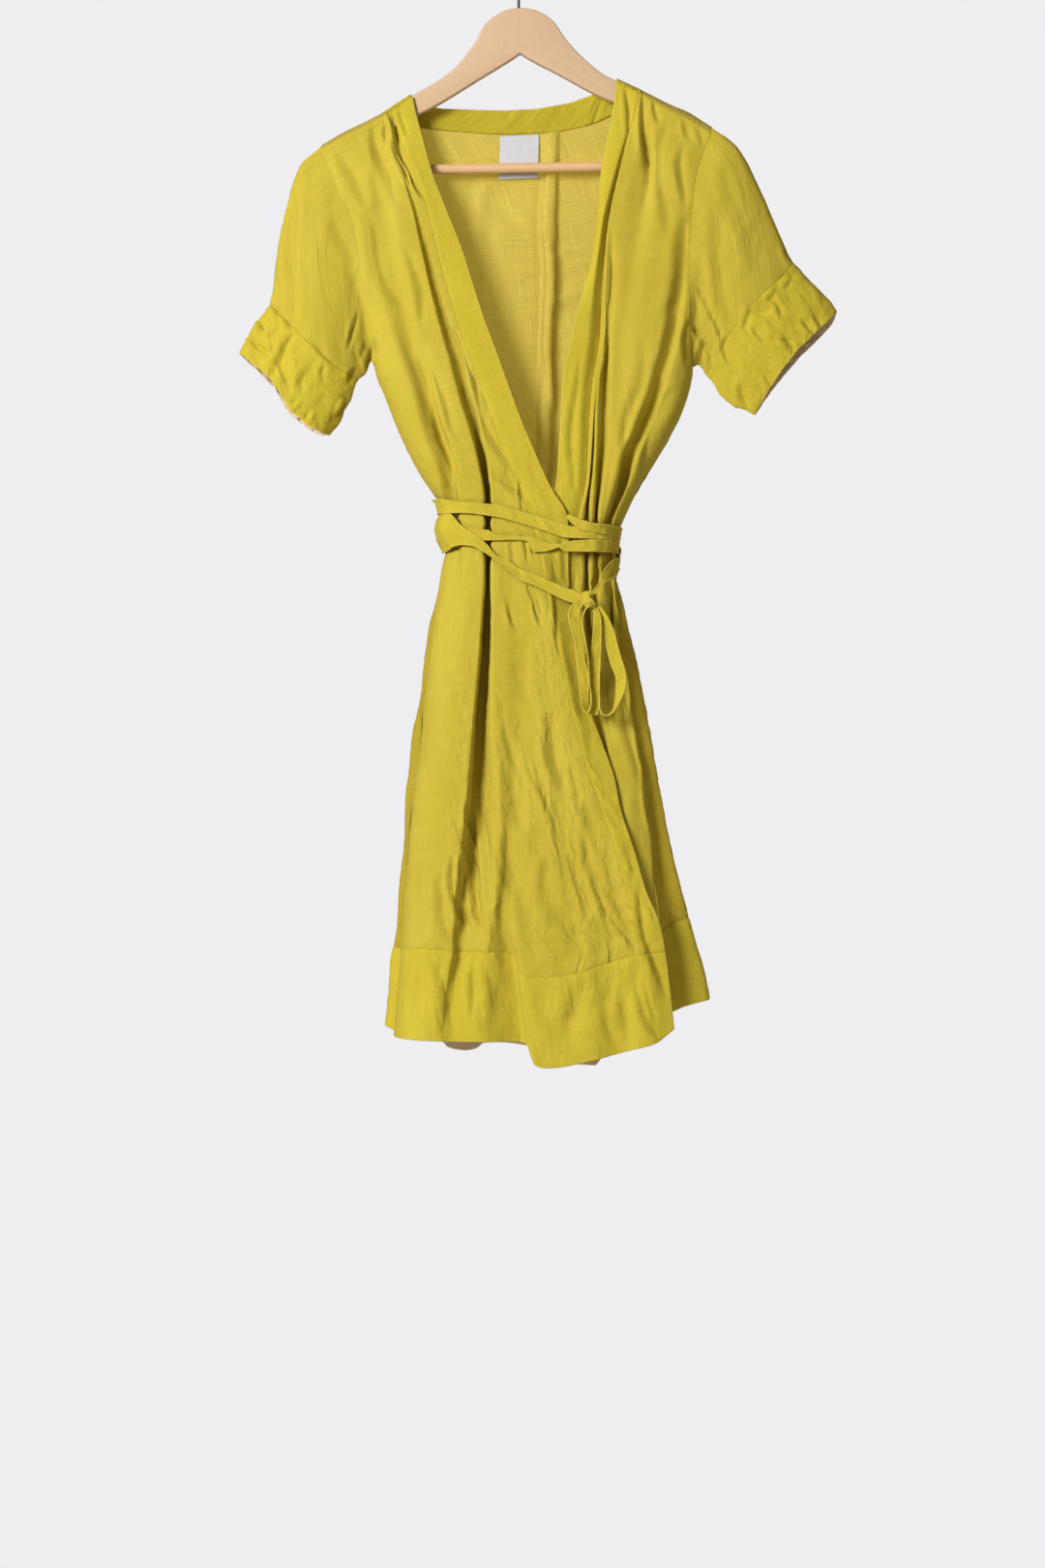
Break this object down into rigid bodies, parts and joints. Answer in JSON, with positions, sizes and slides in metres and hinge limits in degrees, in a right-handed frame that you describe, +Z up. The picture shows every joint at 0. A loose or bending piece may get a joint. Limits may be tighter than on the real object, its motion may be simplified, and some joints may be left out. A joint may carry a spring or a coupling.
{
  "type": "wrap dress on a hanger",
  "caption": "Short-sleeved linen wrap dress with a V neck, banded edges and a tie round the waist, hanging on a wooden hanger with a bar and a wire hook.",
  "frame": {"origin": "inside top of the hanger's hook, where a rail carries it", "axes": "+Z up, -Y to the front of the dress, +X to the wearer's left"},
  "size_m": [0.6191, 0.1244, 1.149],
  "materials": {
    "cloth": "plain-woven linen",
    "wood": "smooth, lightly varnished beech",
    "wire": "dark, smooth wire",
    "label": "plain satin tape, bare"
  },
  "bodies": {
    "root": {"back": "cloth", "bow_loop_left": "cloth", "bow_loop_right": "cloth", "cuff_left": "cloth", "cuff_right": "cloth", "front_left": "cloth", "front_right": "cloth", "frontband_left": "cloth", "frontband_right": "cloth", "hanger_bar": "wood", "hanger_body": "wood", "hanger_hook": "wire", "hemband_back": "cloth", "hemband_left": "cloth", "hemband_right": "cloth", "label": "label", "neckband_back": "cloth", "sleeve_left": "cloth", "sleeve_right": "cloth", "tie_back_lower": "cloth", "tie_back_upper": "cloth", "tie_end": "cloth", "tie_knot": "cloth", "tie_lower": "cloth", "tie_middle": "cloth", "tie_short": "cloth", "tie_upper": "cloth"}
  },
  "joints": []
}
